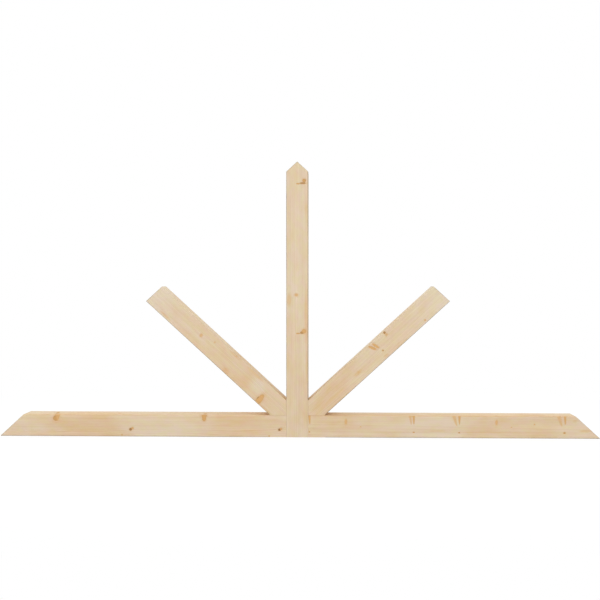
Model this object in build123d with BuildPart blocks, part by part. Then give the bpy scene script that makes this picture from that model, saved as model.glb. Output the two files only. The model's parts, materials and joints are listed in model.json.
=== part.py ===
"""A timber gable bracket for an 11/12 roof: a king post, two half beams and two struts.

The post stands on the centre line and runs from the underside of the beam to the roof's peak.
A half beam butts against each of its sides, and a strut rises from each inner corner, parallel
to the far slope of the roof. Every free end is sawn to the roof line, so the whole bracket fits
under one pair of rafters. The front faces -Y, and the origin is under the post, on the floor.
"""

import os
from math import atan, cos, sin

from build123d import *

# Driving sizes, in millimetres
span = 2438.4  # between the two sharp tips of the beam
post_face = 88.9  # width of the king post, seen from the front
beam_face = 88.9  # height of the beam
strut_face = 88.9  # width of a strut, square to its length
timber_depth = 88.9  # front to back, the same for every timber
arris_radius = 1.6  # the eased long edges of planed stock
roof_pitch_share = 11 / 12  # rise of the roof for each unit of its run

# The roof line, and a strut's centre line from the inner corner of post and beam up to it
roof_angle = atan(roof_pitch_share)
peak_height = span / 2 * roof_pitch_share
corner_run = post_face / 2
strut_end_run = (span / 2 + corner_run - beam_face / roof_pitch_share) / 2
strut_length = (strut_end_run - corner_run) / cos(roof_angle)


def timber_end(run, rise, along_run, along_rise):
    """A plane square to a timber, at a point of its centre line, with its normal along it."""
    return Plane(origin=(run, 0, rise), x_dir=(0, 1, 0), z_dir=(along_run, 0, along_rise))


def roof_cut(side):
    """The roof line on one side, with its normal pointing up and out."""
    return timber_end(side * span / 2, 0, side * sin(roof_angle), cos(roof_angle))


def plumb_cut(side):
    """The post's side face, with its normal pointing away from the post."""
    return timber_end(side * corner_run, 0, side, 0)


level_cut = Plane.XY.offset(beam_face)

# The king post, sawn to a point under the peak
with BuildPart() as king_post:
    with BuildSketch(timber_end(0, 0, 0, 1)):
        RectangleRounded(timber_depth, post_face, arris_radius)
    extrude(amount=peak_height + post_face)
    for side in (-1, 1):
        split(bisect_by=roof_cut(side), keep=Keep.BOTTOM)

king_post.part.label = "king_post"
timbers = [king_post.part]

for side_name, side in (("left", -1), ("right", 1)):
    # A half beam, square against the post and sawn to a sharp tip on the roof line
    with BuildPart() as half_beam:
        with BuildSketch(timber_end(side * corner_run, beam_face / 2, side, 0)):
            RectangleRounded(timber_depth, beam_face, arris_radius)
        extrude(amount=span / 2 - corner_run + beam_face)
        split(bisect_by=roof_cut(side), keep=Keep.BOTTOM)

    half_beam.part.label = f"{side_name}_beam"
    timbers.append(half_beam.part)

    # A strut, sawn plumb against the post, level on the beam and to the roof line at its top
    inner_corner = timber_end(side * corner_run, beam_face, side * cos(roof_angle), sin(roof_angle))
    with BuildPart() as strut:
        with BuildSketch(inner_corner.offset(-strut_face)):
            RectangleRounded(timber_depth, strut_face, arris_radius)
        extrude(amount=strut_face + strut_length + strut_face)
        split(bisect_by=plumb_cut(side), keep=Keep.TOP)
        split(bisect_by=level_cut, keep=Keep.TOP)
        split(bisect_by=roof_cut(side), keep=Keep.BOTTOM)

    strut.part.label = f"{side_name}_strut"
    timbers.append(strut.part)

os.makedirs("parts", exist_ok=True)
for timber in timbers:
    export_step(timber, f"parts/{timber.label}.step")
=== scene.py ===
"""The looks of a timber gable bracket, laid out as a Blender add-on.

Each timber is modelled as planed softwood in place of its plain solid: a squared bar whose ends are
slid to their saw cuts, with eased arrises and with its knots dished into the faces. A white studio is
then set round the bracket. Lengths are in metres, unless a name or a comment says millimetres.
"""

import json
from collections import namedtuple
from math import atan, ceil, cos, pi, radians, sin, tan

import bmesh
import bpy
import numpy as np
from bpy.props import FloatProperty, FloatVectorProperty, PointerProperty
from mathutils import Euler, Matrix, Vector


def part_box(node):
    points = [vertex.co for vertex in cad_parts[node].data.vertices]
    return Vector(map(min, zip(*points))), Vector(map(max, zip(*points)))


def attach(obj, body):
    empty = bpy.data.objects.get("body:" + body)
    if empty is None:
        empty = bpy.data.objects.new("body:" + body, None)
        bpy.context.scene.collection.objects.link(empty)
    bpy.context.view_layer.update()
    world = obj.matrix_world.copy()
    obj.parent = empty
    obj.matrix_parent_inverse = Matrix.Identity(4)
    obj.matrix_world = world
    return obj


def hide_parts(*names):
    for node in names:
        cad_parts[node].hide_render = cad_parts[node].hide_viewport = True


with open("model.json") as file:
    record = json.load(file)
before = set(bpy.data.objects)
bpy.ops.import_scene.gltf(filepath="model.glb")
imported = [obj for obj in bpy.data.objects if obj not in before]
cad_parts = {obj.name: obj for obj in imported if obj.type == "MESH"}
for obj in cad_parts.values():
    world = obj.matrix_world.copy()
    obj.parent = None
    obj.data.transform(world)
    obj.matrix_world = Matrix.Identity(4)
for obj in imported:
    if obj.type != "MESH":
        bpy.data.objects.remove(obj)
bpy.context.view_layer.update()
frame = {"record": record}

bl_info = {
    "name": "Timber gable bracket",
    "version": (1, 0, 0),
    "blender": (4, 5, 0),
    "location": "3D View > Sidebar > Gable",
    "description": "Models a gable bracket in planed softwood and sets a white studio round it",
    "category": "Add Mesh",
}

MILLIMETRE = 0.001

# What the frame says of the bracket
POST_LOW, POST_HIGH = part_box("king_post")
BEAM_LOW, BEAM_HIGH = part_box("right_beam")
ROOF_CUT = next(m for m in frame["record"]["mounts"] if m["name"] == "right_beam_roof_cut")
ROOF_PITCH = ROOF_CUT["axis"][0] / ROOF_CUT["axis"][2]

# A knot is the end of a branch that narrows to a blunt tip inside the timber. Its side is the face that
# it comes out on. Along is its distance from the timber's foot. Offset is its distance up from the
# middle of a front or back face, or behind the front of an upper or lower one. Reach is its length.
# Lean is how far it moves along the timber for each millimetre that it goes in, and slant is the same
# across the face. Tone runs from a faint warm patch, -1, through live orange, 0, to dead brown, 1.
Knot = namedtuple("Knot", "side along offset radius reach lean tone slant", defaults=(0,))

# A stain is a soft patch of darker wood round a place on the front face, with half its length and width
# and an amount, which is negative for paler wood. It goes right through the timber, unless it says how
# deep it goes. The two on the beams' tops next to the struts' feet are painted shade in those corners.
StainAndShade = namedtuple("StainAndShade", "along across half_along half_across amount deep", defaults=(180,))

# Where the log's pith lies behind and above a timber's middle line, a place in the grain that no other
# timber has, and the width of a year's growth
Log = namedtuple("Log", "pith_behind pith_above place ring_width")

# All in millimetres, apart from lean, slant, tone, amount, and the log's place, which is in metres
LOGS = {
    "king_post": Log(pith_behind=-14, pith_above=88, place=3.1, ring_width=2.9),
    "left_beam": Log(pith_behind=36, pith_above=-84, place=7.4, ring_width=3.3),
    "right_beam": Log(pith_behind=-10, pith_above=-86, place=11.2, ring_width=3.0),
    "left_strut": Log(pith_behind=-6, pith_above=82, place=15.6, ring_width=2.8),
    "right_strut": Log(pith_behind=28, pith_above=-88, place=19.3, ring_width=3.1),
}

KNOTS = {
    "king_post": (
        Knot("front", 431, -27, 9.2, 50, 0.10, -0.08),
        Knot("front", 425, -19, 5.2, 50, 0.00, 0.32, 1.2),
        Knot("front", 422, -3, 2.4, 40, 0.00, 0.12, 3.0),
        Knot("front", 1041, -28, 7.2, 50, 0.10, 0.14),
        Knot("front", 1030, -22, 3.6, 50, 0.00, 0.36, 3.2),
        Knot("front", 1028, -3, 2.4, 40, 0.00, 0.05, 3.0),
        Knot("front", 578, 4, 6, 45, 0.05, -0.35, 0.6),
        Knot("upper", 430, 52, 7, 60, 0.40, 0.12, 0.5),
        Knot("upper", 448, 61, 4, 44, 0.30, -0.35, 1.4),
        Knot("upper", 815, 30, 4.2, 46, 0.15, 0.50),
        Knot("lower", 640, 38, 6.5, 56, 0.55, -0.10),
        Knot("back", 612, -17, 10.5, 72, 0.20, 0.04, 0.9),
        Knot("back", 630, -3, 5, 50, 0.60, -0.40, 1.5),
        Knot("back", 1012, 22, 6, 60, 0.50, 0.16),
        Knot("back", 232, 31, 3, 40, 0.10, 0.72),
        Knot("back", 350, -36, 4.5, 52, 0.25, -0.25, 2.0),
    ),
    "left_beam": (
        Knot("upper", 335, 3, 11.5, 28, 0.00, 0.04),
        Knot("front", 335, 28, 8, 80, 0.00, 0.04, 0.4),
        Knot("front", 945, 29, 10.5, 75, 0.12, 0.12, 0.3),
        Knot("upper", 938, 2, 11, 24, 0.00, -0.15),
        Knot("front", 28, -14, 5, 52, 0.35, 0.70),
        Knot("front", 22, -11, 5, 45, 0.20, -0.20),
        Knot("front", 637, -15, 5.5, 52, 0.35, 0.55),
        Knot("front", 629, -11, 5, 45, 0.20, -0.10),
        Knot("front", 70, -40, 2.6, 26, 0.10, 0.05),
        Knot("front", 672, -38, 2.4, 26, 0.10, 0.05),
        Knot("upper", 690, 38, 5, 50, 0.60, -0.10, 0.4),
        Knot("back", 322, 28, 9, 74, 0.25, 0.00, 1.5),
        Knot("back", 338, 12, 4, 48, 0.50, -0.40, 1.2),
        Knot("back", 655, 24, 3.4, 44, 0.20, 0.66),
        Knot("back", 905, -20, 11.5, 72, 0.45, 0.10, -0.5),
        Knot("back", 1030, -36, 3, 34, 0.10, 0.05),
        Knot("lower", 950, 50, 8, 55, 0.30, 0.22),
        Knot("lower", 420, 24, 5, 48, 0.50, -0.20, -0.8),
    ),
    "right_beam": (
        Knot("upper", 5, 1.5, 4.4, 40, 0.05, -0.12),
        Knot("upper", 427, 1.5, 4.6, 38, 0.03, -0.08),
        Knot("upper", 611, 1.5, 4.6, 38, 0.00, -0.10),
        Knot("upper", 1034, 1.5, 4.5, 37, 0.03, -0.06),
        Knot("upper", 413, 2, 5, 40, 0.13, -0.60),
        Knot("upper", 589, 2, 6, 46, 0.28, -0.60),
        Knot("upper", 1010, 2, 6.2, 45, 0.30, -0.68),
        Knot("front", 153, 20, 4.6, 48, 0.05, -0.42, 1.8),
        Knot("front", 760, 20, 4.6, 48, 0.05, -0.36, 1.8),
        Knot("front", 5, -22, 2.4, 34, 0.60, 0.10),
        Knot("front", 427, -22, 2.8, 34, 0.90, 0.14),
        Knot("front", 610, -23, 2.6, 34, 0.90, 0.24),
        Knot("front", 1032, -22, 3.6, 36, 0.80, 0.16),
        Knot("front", 213, 0, 2.4, 28, 0.10, -0.50),
        Knot("front", 820, 0, 2.2, 28, 0.10, -0.45),
        Knot("front", 912, 12, 2.8, 28, 0.10, -0.15),
        Knot("back", 236, -26, 3.6, 40, 0.30, 0.30),
        Knot("back", 418, 18, 8, 66, 0.60, 0.02),
        Knot("back", 437, 26, 5, 52, 0.40, -0.35, 1.0),
        Knot("back", 775, -30, 10, 70, 0.10, 0.14, -1.3),
        Knot("back", 1002, 8, 4, 46, 0.40, -0.10),
        Knot("lower", 600, 55, 7, 52, 0.45, 0.15),
        Knot("lower", 880, 30, 3.4, 40, 0.10, 0.60),
    ),
    "left_strut": (
        Knot("front", 124, -25, 11.2, 110, 0.00, -0.10, 2.3),
        Knot("front", 133, -25, 2.6, 90, 0.00, 0.40, 2.6),
        Knot("front", 115, -35, 4, 50, 0.00, 0.06),
        Knot("front", 475, 6, 5.5, 45, 0.20, -0.42, 0.6),
        Knot("front", 415, 22, 3, 30, 0.10, -0.55),
        Knot("front", 312, 39, 2.4, 28, 0.10, -0.60),
        Knot("front", 303, -35, 9, 60, 0.70, -0.95, 0.3),
        Knot("back", 246, 16, 8.5, 66, 0.40, 0.06, 0.4),
        Knot("back", 545, -32, 6, 58, 0.30, -0.12, -1.8),
        Knot("back", 470, 6, 2.8, 36, 0.10, 0.45),
        Knot("upper", 300, 48, 5.5, 52, 0.60, 0.10),
        Knot("lower", 500, 40, 4, 46, 0.30, 0.50),
    ),
    "right_strut": (
        Knot("front", 378, 26, 5, 70, 1.50, -0.08, -3.0),
        Knot("front", 393, 24, 4.8, 70, 0.85, -0.10, -3.1),
        Knot("front", 455, 40, 5.2, 46, 0.10, 0.46),
        Knot("front", 456, 29, 5, 40, 0.10, -0.42),
        Knot("front", 402, -9, 3.4, 34, 0.10, 0.22),
        Knot("front", 270, -9, 3.4, 40, 0.70, -0.88),
        Knot("front", 610, -33, 3.6, 36, 0.10, -0.25),
        Knot("back", 385, -22, 10, 72, 0.20, 0.08, -0.8),
        Knot("back", 372, -8, 4.4, 48, 0.50, -0.38, -1.4),
        Knot("back", 640, 26, 3.4, 44, 0.20, 0.58),
        Knot("upper", 520, 42, 6, 56, 0.50, 0.04),
        Knot("lower", 455, 55, 6.5, 52, 0.30, 0.20),
    ),
}

STAINS_AND_SHADE = {
    "king_post": (
        StainAndShade(140, 0, 200, 200, 0.18),
        StainAndShade(420, 0, 120, 200, 0.10),
        StainAndShade(590, -8, 150, 45, -0.22),
        StainAndShade(20, 0, 60, 90, -0.20),
        StainAndShade(558, 34, 40, 14, 0.85),
        StainAndShade(500, -36, 170, 11, 0.70),
        StainAndShade(290, -38, 90, 8, 0.35),
        StainAndShade(920, -36, 60, 9, 0.40),
    ),
    "left_beam": (
        StainAndShade(215, 0, 230, 200, 0.32),
        StainAndShade(140, 32, 170, 45, 0.20),
        StainAndShade(420, -26, 250, 45, -0.34),
        StainAndShade(570, 0, 200, 200, -0.12),
        StainAndShade(800, 4, 230, 200, 0.38),
        StainAndShade(775, 34, 130, 40, 0.18),
        StainAndShade(1000, 0, 160, 200, 0.10),
        # Painted shade on the beam's top in the corner under the strut's foot
        StainAndShade(95, 48, 42, 8, 0.70),
        StainAndShade(720, 46, 620, 6, 0.35, 75),
    ),
    "right_beam": (
        StainAndShade(110, 8, 220, 200, 0.20),
        StainAndShade(520, -10, 220, 200, -0.14),
        StainAndShade(700, 12, 150, 120, 0.18),
        StainAndShade(930, 6, 200, 150, 0.22),
        StainAndShade(75, 34, 150, 40, 0.22),
        StainAndShade(560, 46, 800, 6, 0.80, 75),
        # Painted shade on the beam's top in the corner under the strut's foot
        StainAndShade(95, 48, 50, 8, 0.80),
        StainAndShade(560, -21, 700, 3.5, 0.45),
        StainAndShade(525, -16, 55, 6, 0.55),
        StainAndShade(1116, -14, 38, 7, 0.95),
        StainAndShade(1074, 26, 14, 9, 0.45),
        StainAndShade(500, -32, 170, 26, -0.35),
        StainAndShade(60, -32, 120, 26, -0.20),
    ),
    "left_strut": (
        StainAndShade(200, 0, 380, 200, 0.25),
        StainAndShade(304, -34, 30, 17, 0.10),
        StainAndShade(212, -4, 45, 60, 0.30),
        StainAndShade(500, -10, 140, 70, 0.15),
        StainAndShade(640, -34, 40, 6, 0.95),
        StainAndShade(165, 6, 50, 45, -0.45),
        StainAndShade(205, 38, 58, 7, 0.90),
        StainAndShade(318, 39, 40, 7, 0.65),
        StainAndShade(82, -41, 46, 7, 0.95),
        StainAndShade(745, 0, 120, 150, -0.60),
    ),
    "right_strut": (
        StainAndShade(110, -12, 260, 120, 0.40),
        StainAndShade(130, -16, 110, 10, 0.30),
        StainAndShade(470, 0, 120, 90, 0.15),
        StainAndShade(265, -10, 28, 11, 0.55),
        StainAndShade(397, -33, 18, 8, 0.55),
        StainAndShade(745, 0, 110, 150, -0.55),
    ),
}


def paint(red, green, blue):
    """A colour as a screen shows it, from 0 to 255, in the linear values that a shader takes."""
    shares = (red / 255, green / 255, blue / 255)
    return tuple(s / 12.92 if s <= 0.04045 else ((s + 0.055) / 1.055) ** 2.4 for s in shares)


def power_setting(name, description, default):
    return FloatProperty(name=name, description=description, default=default, min=0, unit="POWER")


def length_setting(name, description, default):
    return FloatProperty(
        name=name, description=description, default=default, min=0, unit="LENGTH", precision=4
    )


def share_setting(name, description, default):
    return FloatProperty(
        name=name, description=description, default=default, min=0, max=1, subtype="FACTOR"
    )


def colour_setting(name, description, default):
    return FloatVectorProperty(
        name=name, description=description, default=default, min=0, max=1, subtype="COLOR"
    )


class TimberSizes(bpy.types.PropertyGroup):
    """Sizes of the timbers, read from the frame, and of what the plane and the saw leave on them"""

    half_span: length_setting("Half span", "From the post's middle to a tip of the beam", BEAM_HIGH.x)
    peak: length_setting("Peak height", "From the floor to the point of the post", POST_HIGH.z)
    post_face: length_setting("Post face", "Width of the post from the front", POST_HIGH.x - POST_LOW.x)
    beam_face: length_setting("Beam face", "Height of the beam", BEAM_HIGH.z - BEAM_LOW.z)
    strut_face: length_setting("Strut face", "Width of a strut, square to it", BEAM_HIGH.z - BEAM_LOW.z)
    depth: length_setting("Depth", "Front to back, for every timber", POST_HIGH.y - POST_LOW.y)
    arris: length_setting("Arris radius", "Rounding of the long edges", 0.0016)
    sawn_edge: length_setting("Sawn edge", "Slight easing of the edges round a saw cut", 0.0004)
    cell: length_setting("Mesh cell", "About how far apart the mesh lines of a timber lie", 0.004)
    knot_dish: length_setting("Knot dish", "How far a knot sinks below the planed face", 0.0003)


class SoftwoodFinish(bpy.types.PropertyGroup):
    """Colours and surface of the planed softwood"""

    earlywood: colour_setting("Earlywood", "Pale wood of a year's early growth", paint(231, 217, 194))
    latewood: colour_setting("Latewood", "Darker line that ends a year's growth", paint(207, 174, 131))
    # The stain tint also colours the painted shade in the corners under the struts' feet
    stain_and_shade: colour_setting("StainAndShade", "Tint of a fully stained patch", (0.95, 0.81, 0.66))
    pink: colour_setting("Pink", "Tint of the pinker patches", (1.00, 0.965, 0.99))
    resin: colour_setting("Resin", "Tint of the patches that resin has yellowed", (0.985, 0.99, 0.90))
    live_knot: colour_setting("Live knot", "Orange wood of a living branch", paint(219, 171, 110))
    dead_knot: colour_setting("Dead knot", "Brown wood of a dead branch", paint(120, 74, 40))
    sawn_end: colour_setting("Sawn end", "Tint of end grain under the saw", (0.84, 0.74, 0.60))
    # The worn edge tint paints shade along the rounded edges, with a little grey of handling
    shaded_worn_edge: colour_setting("Shaded worn edge", "Tint of edges that hands have greyed", (0.56, 0.56, 0.58))
    roughness: share_setting("Roughness", "Roughness of a planed face", 0.62)
    grain_depth: length_setting("Grain depth", "Relief of the grain at full height", 0.0006)


class StudioSetup(bpy.types.PropertyGroup):
    """The camera, the lamps and the white surroundings"""

    camera_place: FloatVectorProperty(
        name="Camera place",
        description="Where the camera stands",
        default=(0.1078, -3.4252, 0.6139),
        subtype="TRANSLATION",
    )
    camera_turn: FloatProperty(
        name="Camera turn", description="Turn to the left", default=radians(1.635), subtype="ANGLE"
    )
    camera_tilt: FloatProperty(
        name="Camera tilt", description="Tilt below level", default=radians(0.95), subtype="ANGLE"
    )
    lens: FloatProperty(name="Lens", description="Focal length", default=50.1, unit="CAMERA")
    key_power: power_setting("Key power", "Power of the lamp in front", 470)
    back_power: power_setting("Back power", "Power of the lamp behind", 260)
    top_power: power_setting("Top power", "Power of the lamp overhead", 125)
    side_power: power_setting("Side power", "Power of the lamp on each side", 130)
    lamp_size: length_setting("Lamp size", "Side of each square lamp", 6.0)
    sky_level: share_setting("Sky level", "Light that comes from all round", 0.50)
    floor_shade: share_setting("Floor shade", "How much of the shadow the camera sees", 0.20)
    floor_light: share_setting("Floor light", "About how much light falls on the open floor", 0.90)
    floor_size: length_setting("Floor size", "Side of the square floor", 80)


class Sheet:
    """Adds nodes to one node tree and wires values or other nodes' sockets into them."""

    columns = 12
    column_width = 190
    row_height = 270

    def __init__(self, tree):
        self.tree = tree

    def put(self, kind, inputs=(), **settings):
        node = self.tree.nodes.new(kind)
        row, column = divmod(len(self.tree.nodes) - 1, self.columns)
        node.location = (column * self.column_width, -row * self.row_height)
        for key, value in settings.items():
            setattr(node, key, value)
        for key, value in dict(inputs).items():
            self.wire(node.inputs[key], value)
        return node

    def wire(self, socket, value):
        if isinstance(value, bpy.types.NodeSocket):
            self.tree.links.new(value, socket)
        else:
            socket.default_value = value

    def math(self, operation, *values):
        return self.put("ShaderNodeMath", enumerate(values), operation=operation).outputs[0]

    def vector(self, operation, *values):
        node = self.put("ShaderNodeVectorMath", enumerate(values), operation=operation)
        return node.outputs["Value" if operation in ("LENGTH", "DOT_PRODUCT") else "Vector"]

    def scaled(self, vector, factor):
        node = self.put("ShaderNodeVectorMath", {0: vector, "Scale": factor}, operation="SCALE")
        return node.outputs[0]

    def axes(self, vector):
        return self.put("ShaderNodeSeparateXYZ", {0: vector}).outputs

    def ramp(self, value, low, high, start=0.0, end=1.0):
        """A smooth step from start, where the value is at low, to end, where it is at high."""
        inputs = {"Value": value, "From Min": low, "From Max": high, "To Min": start, "To Max": end}
        return self.put("ShaderNodeMapRange", inputs, interpolation_type="SMOOTHSTEP").outputs[0]

    def blend(self, factor, first, second, blend_type="MIX"):
        inputs = {0: factor, 6: first, 7: second}
        return self.put("ShaderNodeMix", inputs, data_type="RGBA", blend_type=blend_type).outputs[2]

    def between(self, factor, first, second):
        return self.put("ShaderNodeMix", {0: factor, 2: first, 3: second}, data_type="FLOAT").outputs[0]

    def noise(self, vector, along, across, detail=2.0, output="Fac"):
        """Noise with so many waves to a metre along a timber and across it."""
        stretched = self.vector("MULTIPLY", vector, (along, across, across))
        inputs = {"Vector": stretched, "Scale": 1.0, "Detail": detail}
        return self.put("ShaderNodeTexNoise", inputs).outputs[output]

    def noise_along(self, value, waves, detail):
        """Noise with so many waves to each unit of one value."""
        inputs = {"W": value, "Scale": waves, "Detail": detail}
        return self.put("ShaderNodeTexNoise", inputs, noise_dimensions="1D").outputs["Fac"]

    def total(self, start, *shares):
        """A start value with so much of each other value added to it."""
        for value, share in shares:
            start = self.math("MULTIPLY_ADD", value, share, start)
        return start

    def swing(self, noise, amount, middle):
        """A value that swings round its middle with a noise, by this amount from end to end."""
        return self.math("MULTIPLY_ADD", self.math("SUBTRACT", noise, 0.5), amount, middle)

    def group(self, name, inputs):
        node = self.put("ShaderNodeGroup", node_tree=bpy.data.node_groups[name])
        for key, value in inputs.items():
            self.wire(node.inputs[key], value)
        return node.outputs


def new_group(name, inputs, outputs):
    """An empty shader node group with these sockets: its sheet, its inputs and its outputs."""
    group = bpy.data.node_groups.new(name, "ShaderNodeTree")
    for in_out, sockets in (("INPUT", inputs), ("OUTPUT", outputs)):
        for socket, kind in sockets.items():
            group.interface.new_socket(name=socket, in_out=in_out, socket_type="NodeSocket" + kind)
    sheet = Sheet(group)
    return sheet, sheet.put("NodeGroupInput").outputs, sheet.put("NodeGroupOutput").inputs


# The attribute that holds the painted edge shade and wear, and limits for knots, for points that count
# as one, and for edges
EDGE_SHADE_AND_WEAR = "edge_shade_and_wear"
LEAST_KNOT_RADIUS = 0.0002
FAR_FROM_KNOTS = 1000.0
NEAR = 0.00001
SAW_CUT_ANGLE = radians(35)
SMOOTH_ANGLE = radians(30)


def make_knot_group():
    """How far a point is from the nearest knot so far, as a share of that knot's radius there."""
    sheet, given, made = new_group(
        "branch_knot",
        {
            "Vector": "Vector",
            "Base": "Vector",
            "Axis": "Vector",
            "Radius": "Float",
            "Reach": "Float",
            "Own Tone": "Float",
            "Nearest": "Float",
            "Tone": "Float",
        },
        {"Nearest": "Float", "Tone": "Float"},
    )
    offset = sheet.vector("SUBTRACT", given["Vector"], given["Base"])
    inward = sheet.vector("DOT_PRODUCT", offset, given["Axis"])
    on_axis = sheet.scaled(given["Axis"], inward)
    aside = sheet.vector("LENGTH", sheet.vector("SUBTRACT", offset, on_axis))
    left_over = sheet.math("SUBTRACT", 1.0, sheet.math("DIVIDE", inward, given["Reach"]))
    narrowed = sheet.math("MULTIPLY", given["Radius"], sheet.math("SQRT", left_over))
    radius = sheet.math("MAXIMUM", narrowed, LEAST_KNOT_RADIUS)
    distance = sheet.math("DIVIDE", aside, radius)
    is_nearer = sheet.math("LESS_THAN", distance, given["Nearest"])
    sheet.wire(made["Nearest"], sheet.math("MINIMUM", distance, given["Nearest"]))
    sheet.wire(made["Tone"], sheet.between(is_nearer, given["Tone"], given["Own Tone"]))


def make_stain_group():
    """Adds one soft darker patch to the sum so far, a stain in most places and painted shade in the
    corners under the struts' feet.
    """
    sheet, given, made = new_group(
        "wood_stain_and_shade",
        {
            "Vector": "Vector",
            "Centre": "Vector",
            "Half Size": "Vector",
            "Amount": "Float",
            "Sum": "Float",
        },
        {"Sum": "Float"},
    )
    offset = sheet.vector("SUBTRACT", given["Vector"], given["Centre"])
    distance = sheet.vector("LENGTH", sheet.vector("DIVIDE", offset, given["Half Size"]))
    softness = sheet.ramp(distance, 0.2, 1.0, 1.0, 0.0)
    sheet.wire(made["Sum"], sheet.math("MULTIPLY_ADD", softness, given["Amount"], given["Sum"]))


def make_ring_group():
    """Growth rings round the pith: 1 on the dark latewood line that ends a year, 0 in earlywood."""
    sheet, given, made = new_group(
        "growth_rings",
        {"Vector": "Vector", "Pith": "Vector", "Ring Width": "Float", "Nearest": "Float"},
        {"Latewood": "Float", "Across": "Vector", "Radius": "Float"},
    )
    # The rings wander a little across the log
    middle = (0.5, 0.5, 0.5)
    slow_reach = (0.0, 0.022, 0.022)
    quick_reach = (0.0, 0.0026, 0.0026)
    slow = sheet.noise(given["Vector"], along=1.6, across=7.0, output="Color")
    quick = sheet.noise(given["Vector"], along=9.0, across=45.0, output="Color")
    slow_wander = sheet.vector("MULTIPLY", sheet.vector("SUBTRACT", slow, middle), slow_reach)
    quick_wander = sheet.vector("MULTIPLY", sheet.vector("SUBTRACT", quick, middle), quick_reach)
    wander = sheet.vector("ADD", slow_wander, quick_wander)
    wandered = sheet.vector("ADD", given["Vector"], wander)
    from_pith = sheet.vector("SUBTRACT", wandered, given["Pith"])
    across = sheet.vector("MULTIPLY", from_pith, (0.0, 1.0, 1.0))
    radius = sheet.vector("LENGTH", across)

    # The log tapers, and its rings swell outwards along a branch
    log_taper = 0.008
    knot_swell = 0.009
    tapered = sheet.math("MULTIPLY_ADD", sheet.axes(given["Vector"])["X"], log_taper, radius)
    fall_off = sheet.math("MULTIPLY_ADD", given["Nearest"], given["Nearest"], 1.0)
    swell = sheet.math("DIVIDE", knot_swell, fall_off)
    age = sheet.math("DIVIDE", sheet.math("SUBTRACT", tapered, swell), given["Ring Width"])

    # Some years are wider than others, and some end in a darker line
    uneven_years = 1.8
    palest_year = 0.45
    uneven = sheet.noise_along(age, waves=0.35, detail=1.0)
    age = sheet.math("MULTIPLY_ADD", uneven, uneven_years, age)
    season = sheet.math("FRACT", age)
    year = sheet.math("FLOOR", age)
    growth = sheet.ramp(season, 0.30, 0.94)
    winter = sheet.ramp(season, 0.95, 1.0, 1.0, 0.0)
    chance = sheet.put("ShaderNodeTexWhiteNoise", {"W": year}, noise_dimensions="1D").outputs["Value"]
    good_year = sheet.math("MULTIPLY_ADD", chance, 1.0 - palest_year, palest_year)
    line = sheet.math("MULTIPLY", sheet.math("MULTIPLY", growth, winter), good_year)
    sheet.wire(made["Latewood"], line)
    sheet.wire(made["Across"], across)
    sheet.wire(made["Radius"], radius)


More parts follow.
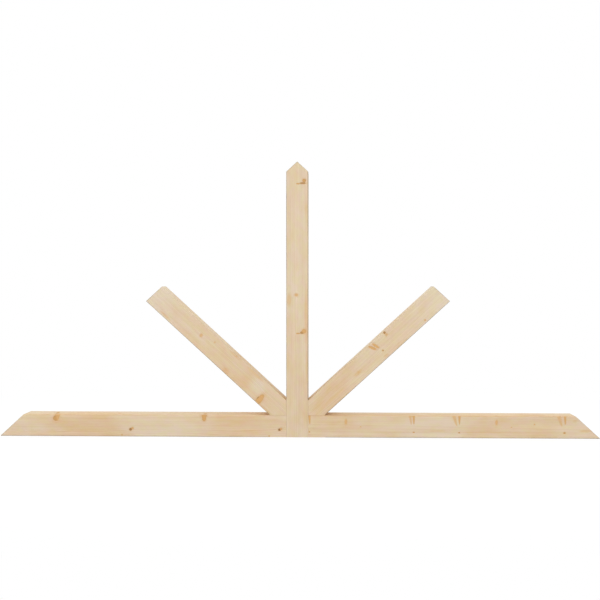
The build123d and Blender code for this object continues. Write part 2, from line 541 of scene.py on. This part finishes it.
def make_softwood_group():
    """The colour, roughness and height of planed softwood, in a timber's own coordinates."""
    sheet, given, made = new_group(
        "planed_softwood",
        {
            "Vector": "Vector",
            "Normal": "Vector",
            "Log Place": "Vector",
            "Pith": "Vector",
            "Ring Width": "Float",
            "Edge Shade And Wear": "Float",
            "Nearest": "Float",
            "Knot Tone": "Float",
            "StainAndShade": "Float",
            "Earlywood": "Color",
            "Latewood": "Color",
            "Stain And Shade Tint": "Color",
            "Pink Tint": "Color",
            "Resin Tint": "Color",
            "Live Knot": "Color",
            "Dead Knot": "Color",
            "Sawn Tint": "Color",
            "Edge Shade And Wear Tint": "Color",
            "Roughness": "Float",
        },
        {"Color": "Color", "Roughness": "Float", "Height": "Float"},
    )
    place = sheet.vector("ADD", given["Vector"], given["Log Place"])
    ring_inputs = {name: given[name] for name in ("Pith", "Ring Width", "Nearest")}
    rings = sheet.group("growth_rings", {"Vector": place, **ring_inputs})

    # Fibres, streaks and the short dark flecks of resin ducts, all drawn out along the grain
    fibre = sheet.noise(place, along=5.0, across=820.0)
    streak = sheet.noise(place, along=1.3, across=55.0, detail=3.0)
    fleck = sheet.ramp(sheet.noise(place, along=42.0, across=1150.0, detail=1.0), 0.66, 0.78)
    latewood_share = 0.48
    latewood = sheet.math("MULTIPLY", rings["Latewood"], latewood_share)
    colour = sheet.blend(latewood, given["Earlywood"], given["Latewood"])
    light = sheet.swing(fibre, 0.12, 1.0)
    light = sheet.swing(streak, 0.12, light)
    light = sheet.total(light, (fleck, -0.10))
    colour = sheet.scaled(colour, light)

    # Stains, and the painted shade in the corners under the struts' feet, broken up by long mottles and
    # shorter clouds
    mottle = sheet.noise(place, along=5.5, across=26.0, detail=3.0)
    cloud = sheet.noise(place, along=17.0, across=40.0)
    stain_and_shade = sheet.swing(mottle, 1.0, given["StainAndShade"])
    stain_and_shade = sheet.swing(cloud, 0.8, stain_and_shade)
    stain_and_shade = sheet.ramp(stain_and_shade, -0.6, 1.3, 0.0, 1.45)
    colour = sheet.blend(stain_and_shade, colour, given["Stain And Shade Tint"], "MULTIPLY")

    # Patches where the wood is a little pinker, and others where resin has turned it yellow
    resin = sheet.ramp(sheet.noise(place, along=30.0, across=60.0), 0.36, 0.64)
    tinge = sheet.blend(resin, given["Pink Tint"], given["Resin Tint"])
    colour = sheet.blend(1.0, colour, tinge, "MULTIPLY")

    # Knots: warm wood round them, a dark rim, and rings of their own
    halo_share = 0.35
    ring_pace = 26.0
    ring_shade = 0.07
    wobble = sheet.noise(place, along=130.0, across=190.0)
    nearest = sheet.swing(wobble, 0.5, given["Nearest"])
    halo = sheet.ramp(nearest, 0.9, 2.1, halo_share, 0.0)
    colour = sheet.blend(halo, colour, given["Live Knot"])
    tone = given["Knot Tone"]
    knot = sheet.blend(sheet.math("MAXIMUM", tone, 0.0), given["Live Knot"], given["Dead Knot"])
    knot_rings = sheet.math("SINE", sheet.math("MULTIPLY", nearest, ring_pace))
    knot = sheet.scaled(knot, sheet.total(1.0, (knot_rings, ring_shade)))
    rim_inside = sheet.ramp(nearest, 0.55, 0.92)
    rim_outside = sheet.ramp(nearest, 0.95, 1.15, 1.0, 0.0)
    rim = sheet.math("MULTIPLY", rim_inside, rim_outside)
    live_rim_shade = -0.12
    dead_rim_shade = -0.37
    rim_shade = sheet.total(live_rim_shade, (tone, dead_rim_shade - live_rim_shade))
    knot = sheet.scaled(knot, sheet.total(1.0, (rim, rim_shade)))
    faded = sheet.math("MINIMUM", sheet.math("ADD", tone, 1.0), 1.0)
    core = sheet.math("MULTIPLY", sheet.ramp(nearest, 0.86, 1.06, 1.0, 0.0), faded)
    colour = sheet.blend(core, colour, knot)

    # Sawn ends: darker end grain, with rays out from the pith and the arcs of the blade
    blade_centre = (0.0, 0.09, -0.16)
    facing = sheet.math("ABSOLUTE", sheet.axes(given["Normal"])["X"])
    sawn = sheet.ramp(facing, 0.35, 0.60)
    across = sheet.axes(rings["Across"])
    angle = sheet.math("ARCTAN2", across["Z"], across["Y"])
    ray_place = sheet.put("ShaderNodeCombineXYZ", {"X": angle, "Y": rings["Radius"]}).outputs[0]
    rays_to_a_radian, rays_to_a_metre = 95.0, 70.0
    rays = sheet.noise(ray_place, rays_to_a_radian, rays_to_a_metre)
    blade = sheet.vector("LENGTH", sheet.vector("SUBTRACT", given["Vector"], blade_centre))
    kerf = sheet.noise_along(blade, waves=420.0, detail=2.0)
    end_light = sheet.total(0.88, (rays, 0.16), (kerf, 0.14), (rings["Latewood"], -0.16))
    end_colour = sheet.scaled(colour, end_light)
    end_colour = sheet.blend(1.0, end_colour, given["Sawn Tint"], "MULTIPLY")
    colour = sheet.blend(sawn, colour, end_colour)

    # Edges greyed: a painted dark line of shade along the rounded edges, and a little grey of handling,
    # more in some places than in others
    shade_and_wear_narrowness = 3.0
    narrow = sheet.math("POWER", given["Edge Shade And Wear"], shade_and_wear_narrowness)
    patchy = sheet.ramp(mottle, 0.36, 0.62, 0.65, 1.3)
    shade_and_wear = sheet.math("MULTIPLY", narrow, patchy)
    colour = sheet.blend(shade_and_wear, colour, given["Edge Shade And Wear Tint"], "MULTIPLY")
    sheet.wire(made["Color"], colour)

    # Fibres and saw cuts are rougher, and knots smoother
    rough = sheet.total(given["Roughness"], (fibre, 0.12), (core, -0.10), (sawn, 0.18))
    sheet.wire(made["Roughness"], rough)

    # Relief: hard latewood stands up, and flecks and the rims of knots sink
    hard = rings["Latewood"]
    planed_relief = sheet.total(0.0, (fibre, 0.25), (hard, 0.30), (fleck, -0.35), (rim, -0.5))
    sawn_relief = sheet.total(0.0, (rays, 0.3), (kerf, 0.8))
    sheet.wire(made["Height"], sheet.between(sawn, planed_relief, sawn_relief))


def make_wood_groups():
    if "planed_softwood" not in bpy.data.node_groups:
        make_knot_group()
        make_stain_group()
        make_ring_group()
        make_softwood_group()


# Where a timber stands: its foot, its tilt up from level and its turn about the upright. In its own
# frame it runs along +X, with +Z towards its upper edge. A turned timber has its front at +Y. Its joint
# is the length next to its foot where other timbers meet it.
Place = namedtuple("Place", "foot tilt turn length face joint")


def timber_places(sizes):
    roof_angle = atan(ROOF_PITCH)
    corner_run = sizes.post_face / 2
    strut_run = (sizes.half_span - corner_run - sizes.beam_face / ROOF_PITCH) / 2
    strut_length = strut_run / cos(roof_angle)
    beam_length = sizes.half_span - corner_run
    half_face = sizes.strut_face / 2
    post_joint = sizes.beam_face + half_face / cos(roof_angle)
    beam_joint = half_face / sin(roof_angle)
    strut_joint = half_face / ROOF_PITCH
    places = {"king_post": Place(Vector(), pi / 2, 0.0, sizes.peak, sizes.post_face, post_joint)}
    for side, sign, turn in (("left", -1, pi), ("right", 1, 0.0)):
        beam_foot = Vector((sign * corner_run, 0, sizes.beam_face / 2))
        strut_foot = Vector((sign * corner_run, 0, sizes.beam_face))
        places[f"{side}_beam"] = Place(beam_foot, 0.0, turn, beam_length, sizes.beam_face, beam_joint)
        places[f"{side}_strut"] = Place(
            strut_foot, roof_angle, turn, strut_length, sizes.strut_face, strut_joint
        )
    return places


def front_of(place):
    """Which way along its own Y axis a timber's front faces."""
    return -1 if place.turn == 0 else 1


def knot_cones(node, place, depth):
    """Each knot in its timber's own frame, in metres: base, axis into the wood, radius, reach, tone."""
    front = front_of(place)
    cones = []
    for knot in KNOTS[node]:
        along, offset = knot.along * MILLIMETRE, knot.offset * MILLIMETRE
        if knot.side in ("front", "back"):
            outward = front if knot.side == "front" else -front
            base = Vector((along, outward * depth / 2, offset))
            inward = Vector((0, -outward, 0))
        else:
            outward = 1 if knot.side == "upper" else -1
            base = Vector((along, front * (depth / 2 - offset), outward * place.face / 2))
            inward = Vector((0, 0, -outward))
        sideways = Vector((0, -inward.z, inward.y)) * -front
        axis = (inward + Vector((knot.lean, 0, 0)) + sideways * knot.slant).normalized()
        cones.append((base, axis, knot.radius * MILLIMETRE, knot.reach * MILLIMETRE, knot.tone))
    return cones


def make_timber_material(node, place, scene):
    """Planed softwood with this timber's own knots, stains and rings."""
    sizes, finish = scene.gable_sizes, scene.gable_finish
    make_wood_groups()
    material = bpy.data.materials.new(f"{node}_softwood")
    material.use_nodes = True
    material.node_tree.nodes.clear()
    sheet = Sheet(material.node_tree)
    coordinates = sheet.put("ShaderNodeTexCoord").outputs
    turn = Euler((0, -place.tilt, place.turn))

    def in_own_frame(vector, origin):
        """The same vector as the timber has it, before it was turned and moved to its place."""
        inputs = {"Vector": vector, "Location": origin, "Rotation": turn}
        return sheet.put("ShaderNodeMapping", inputs, vector_type="TEXTURE").outputs[0]

    own = in_own_frame(coordinates["Object"], place.foot)
    normal = in_own_frame(coordinates["Normal"], Vector())

    nearest, tone = FAR_FROM_KNOTS, 0.0
    for base, axis, radius, reach, own_tone in knot_cones(node, place, sizes.depth):
        shape = {"Vector": own, "Base": base, "Axis": axis, "Radius": radius, "Reach": reach}
        so_far = {"Own Tone": own_tone, "Nearest": nearest, "Tone": tone}
        knot = sheet.group("branch_knot", {**shape, **so_far})
        nearest, tone = knot["Nearest"], knot["Tone"]

    front = front_of(place)
    stain_and_shade = 0.0
    for patch in STAINS_AND_SHADE[node]:
        centre = Vector((patch.along * MILLIMETRE, front * sizes.depth / 2, patch.across * MILLIMETRE))
        half_size = Vector((patch.half_along, patch.deep, patch.half_across)) * MILLIMETRE
        shape = {"Vector": own, "Centre": centre, "Half Size": half_size}
        stain_and_shade = sheet.group("wood_stain_and_shade", {**shape, "Amount": patch.amount, "Sum": stain_and_shade})["Sum"]

    log = LOGS[node]
    wood = sheet.group(
        "planed_softwood",
        {
            "Vector": own,
            "Normal": normal,
            "Log Place": (log.place, 0, 0),
            "Pith": (0, -front * log.pith_behind * MILLIMETRE, log.pith_above * MILLIMETRE),
            "Ring Width": log.ring_width * MILLIMETRE,
            "Edge Shade And Wear": sheet.put("ShaderNodeAttribute", attribute_name=EDGE_SHADE_AND_WEAR).outputs["Fac"],
            "Nearest": nearest,
            "Knot Tone": tone,
            "StainAndShade": stain_and_shade,
            "Earlywood": (*finish.earlywood, 1),
            "Latewood": (*finish.latewood, 1),
            "Stain And Shade Tint": (*finish.stain_and_shade, 1),
            "Pink Tint": (*finish.pink, 1),
            "Resin Tint": (*finish.resin, 1),
            "Live Knot": (*finish.live_knot, 1),
            "Dead Knot": (*finish.dead_knot, 1),
            "Sawn Tint": (*finish.sawn_end, 1),
            "Edge Shade And Wear Tint": (*finish.shaded_worn_edge, 1),
            "Roughness": finish.roughness,
        },
    )
    relief = {"Height": wood["Height"], "Distance": finish.grain_depth, "Strength": 1.0}
    bump = sheet.put("ShaderNodeBump", relief)
    surface = sheet.put(
        "ShaderNodeBsdfPrincipled",
        {
            "Base Color": wood["Color"],
            "Roughness": wood["Roughness"],
            "Normal": bump.outputs[0],
            "IOR": 1.45,
            "Specular IOR Level": 0.22,
        },
    )
    sheet.put("ShaderNodeOutputMaterial", {"Surface": surface.outputs[0]})
    return material


def add_bar(piece, length, depth, face):
    """A squared bar along +X from the origin, cut once along the middle of its front and back faces."""
    bpy.ops.object.select_all(action="DESELECT")
    bpy.ops.mesh.primitive_cube_add(size=1, location=(length / 2, 0, 0), scale=(length, depth, face))
    bar = bpy.context.object
    bar.name = bar.data.name = piece
    bpy.ops.object.transform_apply(location=True, rotation=False, scale=True)
    select_edges(bar, lambda start, end: abs(end.z - start.z) > face / 2)
    bpy.ops.mesh.subdivide(number_cuts=1)
    bpy.ops.object.mode_set(mode="OBJECT")
    return bar


def select_edges(bar, wanted):
    """Goes to edit mode with only those edges selected whose two ends pass the test."""
    bpy.ops.object.mode_set(mode="EDIT")
    bpy.ops.mesh.select_mode(type="EDGE")
    bpy.ops.mesh.select_all(action="DESELECT")
    mesh = bmesh.from_edit_mesh(bar.data)
    for edge in mesh.edges:
        edge.select_set(wanted(edge.verts[0].co, edge.verts[1].co))
    bmesh.update_edit_mesh(bar.data)


def slide_edge(bar, x, z, distance):
    """Slides the edge that runs front to back at this place along the bar."""
    select_edges(bar, lambda *ends: all(abs(e.x - x) < NEAR and abs(e.z - z) < NEAR for e in ends))
    bpy.ops.transform.translate(value=(distance, 0, 0))
    bpy.ops.object.mode_set(mode="OBJECT")


def plane_bar(bar, depth, face, sizes):
    """Divides a bar into a fine even mesh, rounds its arrises and eases the edges of its saw cuts."""
    longest = max(v.co.x for v in bar.data.vertices)

    def divide(wanted, length):
        """Divides these edges into cells, in two rounds where one can't make all the cuts."""
        most_cuts = 100
        cells = max(2, round(length / sizes.cell))
        coarse_parts = ceil(cells / most_cuts)
        for parts in (coarse_parts, round(cells / coarse_parts)):
            if parts > 1:
                select_edges(bar, wanted)
                bpy.ops.mesh.subdivide(number_cuts=parts - 1)

    divide(lambda a, b: abs(a.y - b.y) < NEAR and abs(a.z - b.z) < NEAR, longest)
    divide(lambda a, b: abs(a.z - b.z) > NEAR, face / 2)
    divide(lambda a, b: abs(a.y - b.y) > NEAR, depth)

    def on_corner(point):
        return abs(abs(point.y) - depth / 2) < NEAR and abs(abs(point.z) - face / 2) < NEAR

    def ease(radius, segments):
        """Rounds the selected edges, and marks what the rounding makes for the painted edge shade and
        wear.
        """
        bpy.ops.mesh.bevel(
            offset=radius, offset_type="OFFSET", segments=segments, profile=0.5, affect="EDGES"
        )
        bpy.ops.mesh.attribute_set(value_float=1.0)

    bpy.ops.object.mode_set(mode="OBJECT")
    bpy.ops.geometry.attribute_add(name=EDGE_SHADE_AND_WEAR, domain="POINT", data_type="FLOAT")
    select_edges(bar, lambda a, b: on_corner(a) and on_corner(b))
    ease(sizes.arris, segments=4)
    bpy.ops.mesh.select_all(action="DESELECT")
    bpy.ops.mesh.edges_select_sharp(sharpness=SAW_CUT_ANGLE)
    ease(sizes.sawn_edge, segments=2)
    bpy.ops.object.mode_set(mode="OBJECT")


def copy_bar(bar, piece):
    """A second bar of the same shape, with a mesh of its own."""
    bpy.ops.object.select_all(action="DESELECT")
    bar.select_set(True)
    bpy.context.view_layer.objects.active = bar
    bpy.ops.object.duplicate(linked=False)
    copy = bpy.context.object
    copy.name = copy.data.name = piece
    return copy


def apply_modifier(bar, modifier):
    bpy.context.view_layer.objects.active = bar
    bpy.ops.object.modifier_apply(modifier=modifier.name)


def dish_knots(bar, cones, depth):
    """Sinks each knot a little below the planed faces, deepest at its middle."""
    dish_inside, dish_outside = 0.4, 1.7
    points = np.empty(len(bar.data.vertices) * 3)
    bar.data.vertices.foreach_get("co", points)
    points = points.reshape(-1, 3)
    weights = np.zeros(len(points))
    for base, axis, radius, reach, _ in cones:
        offsets = points - np.array(base)
        inward = offsets @ np.array(axis)
        aside = np.linalg.norm(offsets - np.outer(inward, axis), axis=1)
        taper = np.sqrt(np.maximum(1 - inward / reach, 0))
        nearest = aside / np.maximum(radius * taper, LEAST_KNOT_RADIUS)
        fade = np.clip((dish_outside - nearest) / (dish_outside - dish_inside), 0, 1)
        weights = np.maximum(weights, fade * fade * (3 - 2 * fade))
    group = bar.vertex_groups.new(name="knots")
    for index in np.flatnonzero(weights):
        group.add([int(index)], float(weights[index]), "REPLACE")
    dish = bar.modifiers.new("knots", "DISPLACE")
    dish.vertex_group = group.name
    dish.mid_level = 0
    dish.strength = -depth
    apply_modifier(bar, dish)
    bar.vertex_groups.remove(bar.vertex_groups["knots"])


def clear_edge_shade_and_wear(bar, node, place, sizes):
    """Takes the painted edge shade and wear off the edges in a joint, and off the upper front arris of
    all but the post.
    """
    band = 2 * sizes.cell
    upper_front = Vector((0, front_of(place) * sizes.depth / 2, place.face / 2))

    def is_clean(point):
        from_arris = (point - upper_front).yz.length
        return point.x < place.joint + sizes.cell or (node != "king_post" and from_arris < band)

    select_edges(bar, lambda a, b: is_clean(a) and is_clean(b))
    bpy.ops.mesh.attribute_set(value_float=0.0)
    bpy.ops.object.mode_set(mode="OBJECT")


def finish_timber(bar, node, scene):
    """Gives a planed bar its knots, its place and its wood, fixes it to the root body and hides its CAD
    part.
    """
    sizes = scene.gable_sizes
    place = timber_places(sizes)[node]
    bpy.ops.object.select_all(action="DESELECT")
    bar.select_set(True)
    bpy.context.view_layer.objects.active = bar
    clear_edge_shade_and_wear(bar, node, place, sizes)
    dish_knots(bar, knot_cones(node, place, sizes.depth), sizes.knot_dish)
    bar.location = place.foot
    bar.rotation_euler = Euler((0, -place.tilt, place.turn))
    bpy.ops.object.transform_apply(location=True, rotation=True, scale=True)
    bpy.ops.object.shade_smooth_by_angle(angle=SMOOTH_ANGLE)
    bar.data.materials.clear()
    bar.data.materials.append(make_timber_material(node, place, scene))
    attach(bar, "root")
    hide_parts(node)


class GABLE_OT_king_post(bpy.types.Operator):
    """Models the king post, sawn to a point under the peak of the roof"""

    bl_idname = "gable.king_post"
    bl_label = "King post"

    def execute(self, context):
        sizes = context.scene.gable_sizes
        point = sizes.post_face / 2 * ROOF_PITCH
        shoulder = sizes.peak - point
        post = add_bar("planed_post", shoulder, sizes.depth, sizes.post_face)
        slide_edge(post, shoulder, 0, point)
        plane_bar(post, sizes.depth, sizes.post_face, sizes)
        finish_timber(post, "king_post", context.scene)
        return {"FINISHED"}


class GABLE_OT_half_beams(bpy.types.Operator):
    """Models the two half beams, square against the post and sawn to a tip on the roof line"""

    bl_idname = "gable.half_beams"
    bl_label = "Half beams"

    def execute(self, context):
        sizes = context.scene.gable_sizes
        length = timber_places(sizes)["right_beam"].length
        middle, top = sizes.beam_face / 2 / ROOF_PITCH, sizes.beam_face / ROOF_PITCH
        right = add_bar("planed_right_beam", length, sizes.depth, sizes.beam_face)
        slide_edge(right, length, 0, -middle)
        slide_edge(right, length, sizes.beam_face / 2, -top)
        plane_bar(right, sizes.depth, sizes.beam_face, sizes)
        left = copy_bar(right, "planed_left_beam")
        finish_timber(right, "right_beam", context.scene)
        finish_timber(left, "left_beam", context.scene)
        return {"FINISHED"}


class GABLE_OT_struts(bpy.types.Operator):
    """Models the two struts, sawn plumb and level at the foot and to the roof line at the head"""

    bl_idname = "gable.struts"
    bl_label = "Struts"

    def execute(self, context):
        sizes = context.scene.gable_sizes
        length = timber_places(sizes)["right_strut"].length
        half_face = sizes.strut_face / 2
        head_slope = half_face / tan(2 * atan(ROOF_PITCH))
        right = add_bar("planed_right_strut", length, sizes.depth, sizes.strut_face)
        slide_edge(right, 0, half_face, half_face * ROOF_PITCH)
        slide_edge(right, 0, -half_face, half_face / ROOF_PITCH)
        slide_edge(right, length, half_face, -head_slope)
        slide_edge(right, length, -half_face, head_slope)
        plane_bar(right, sizes.depth, sizes.strut_face, sizes)
        left = copy_bar(right, "planed_left_strut")
        finish_timber(right, "right_strut", context.scene)
        finish_timber(left, "left_strut", context.scene)
        return {"FINISHED"}


def seen_directly(sheet):
    """1 on rays from the camera, from gloss or through glass, and 0 on the rays that light things."""
    path = sheet.put("ShaderNodeLightPath").outputs
    sharp = sheet.math("MAXIMUM", path["Is Glossy Ray"], path["Is Transmission Ray"])
    return sheet.math("MAXIMUM", path["Is Camera Ray"], sharp)


def make_sky(studio):
    """Even light from all round, white where it is seen."""
    sky = bpy.data.worlds.new("studio_sky")
    sky.use_nodes = True
    sky.node_tree.nodes.clear()
    sheet = Sheet(sky.node_tree)
    strength = sheet.between(seen_directly(sheet), studio.sky_level, 1.0)
    light = sheet.put("ShaderNodeBackground", {"Color": (1, 1, 1, 1), "Strength": strength})
    sheet.put("ShaderNodeOutputWorld", {"Surface": light.outputs[0]})
    return sky


def make_floor_material(studio):
    """A pale floor that the camera sees as white, with a share of the shadow left on it."""
    material = bpy.data.materials.new("studio_floor")
    material.use_nodes = True
    material.node_tree.nodes.clear()
    sheet = Sheet(material.node_tree)
    seen = seen_directly(sheet)
    place = sheet.put("ShaderNodeTexCoord").outputs["Object"]
    shadow_reach = (2.6, 1.6, 1.0)
    pale = (0.7, 0.7, 0.7, 1)
    from_middle = sheet.vector("LENGTH", sheet.vector("DIVIDE", place, shadow_reach))
    shade = sheet.ramp(from_middle, 0.3, 1.0, studio.floor_shade, 0.0)
    colour = sheet.blend(seen, pale, shade)
    glow = sheet.math("MULTIPLY", seen, sheet.math("MULTIPLY_ADD", shade, -studio.floor_light, 1.0))
    surface = sheet.put(
        "ShaderNodeBsdfPrincipled",
        {
            "Base Color": colour,
            "Roughness": 1.0,
            "Specular IOR Level": 0.0,
            "Emission Color": glow,
            "Emission Strength": 1.0,
        },
    )
    sheet.put("ShaderNodeOutputMaterial", {"Surface": surface.outputs[0]})
    return material


def add_lamp(name, place, target, power, size):
    bpy.ops.object.light_add(type="AREA", location=place)
    lamp = bpy.context.object
    lamp.name = lamp.data.name = name
    lamp.data.energy = power
    lamp.data.size = size
    lamp.rotation_euler = (Vector(target) - Vector(place)).to_track_quat("-Z", "Y").to_euler()
    lamp.visible_camera = False
    lamp.visible_glossy = False


class GABLE_OT_stage(bpy.types.Operator):
    """Sets a pale floor, a white sky, soft lamps and the camera round the bracket"""

    bl_idname = "gable.stage"
    bl_label = "Studio"

    def execute(self, context):
        scene, studio = context.scene, context.scene.gable_studio
        bpy.ops.object.select_all(action="DESELECT")
        just_below = -0.0003
        bpy.ops.mesh.primitive_plane_add(size=studio.floor_size, location=(0, 0, just_below))
        floor = context.object
        floor.name = floor.data.name = "studio_floor"
        floor.data.materials.append(make_floor_material(studio))
        scene.world = make_sky(studio)
        centre = (0, 0, scene.gable_sizes.peak / 2)
        lamps = (
            ("key_lamp", (0, -10.5, 5.0), studio.key_power),
            ("back_lamp", (0, 9.0, 5.0), studio.back_power),
            ("top_lamp", (0, -2.0, 9.0), studio.top_power),
            ("left_lamp", (-7.0, 0, 4.5), studio.side_power),
            ("right_lamp", (7.0, 0, 4.5), studio.side_power),
        )
        for name, place, power in lamps:
            add_lamp(name, place, centre, power, studio.lamp_size)
        level = pi / 2
        bpy.ops.object.camera_add(
            location=studio.camera_place, rotation=(level - studio.camera_tilt, 0, studio.camera_turn)
        )
        camera = context.object
        camera.name = camera.data.name = "studio_camera"
        camera.data.lens = studio.lens
        scene.camera = camera
        scene.view_settings.view_transform = "Standard"
        return {"FINISHED"}


class GABLE_PT_bracket(bpy.types.Panel):
    """Lists the steps that model the bracket, and the settings that they read"""

    bl_idname = "GABLE_PT_bracket"
    bl_label = "Gable bracket"
    bl_space_type = "VIEW_3D"
    bl_region_type = "UI"
    bl_category = "Gable"

    def draw(self, context):
        for operator in OPERATORS:
            self.layout.operator(operator.bl_idname)
        for settings_name, settings_class in SETTINGS.items():
            box = self.layout.box()
            for name in settings_class.__annotations__:
                box.prop(getattr(context.scene, settings_name), name)


SETTINGS = {"gable_sizes": TimberSizes, "gable_finish": SoftwoodFinish, "gable_studio": StudioSetup}
OPERATORS = (GABLE_OT_king_post, GABLE_OT_half_beams, GABLE_OT_struts, GABLE_OT_stage)


def register():
    for cls in (*SETTINGS.values(), *OPERATORS, GABLE_PT_bracket):
        bpy.utils.register_class(cls)
    for name, cls in SETTINGS.items():
        setattr(bpy.types.Scene, name, PointerProperty(type=cls))


def unregister():
    for name in SETTINGS:
        delattr(bpy.types.Scene, name)
    for cls in (GABLE_PT_bracket, *reversed(OPERATORS), *SETTINGS.values()):
        bpy.utils.unregister_class(cls)


def main():
    register()
    bpy.ops.gable.king_post()
    bpy.ops.gable.half_beams()
    bpy.ops.gable.struts()
    bpy.ops.gable.stage()


if __name__ == "__main__":
    main()
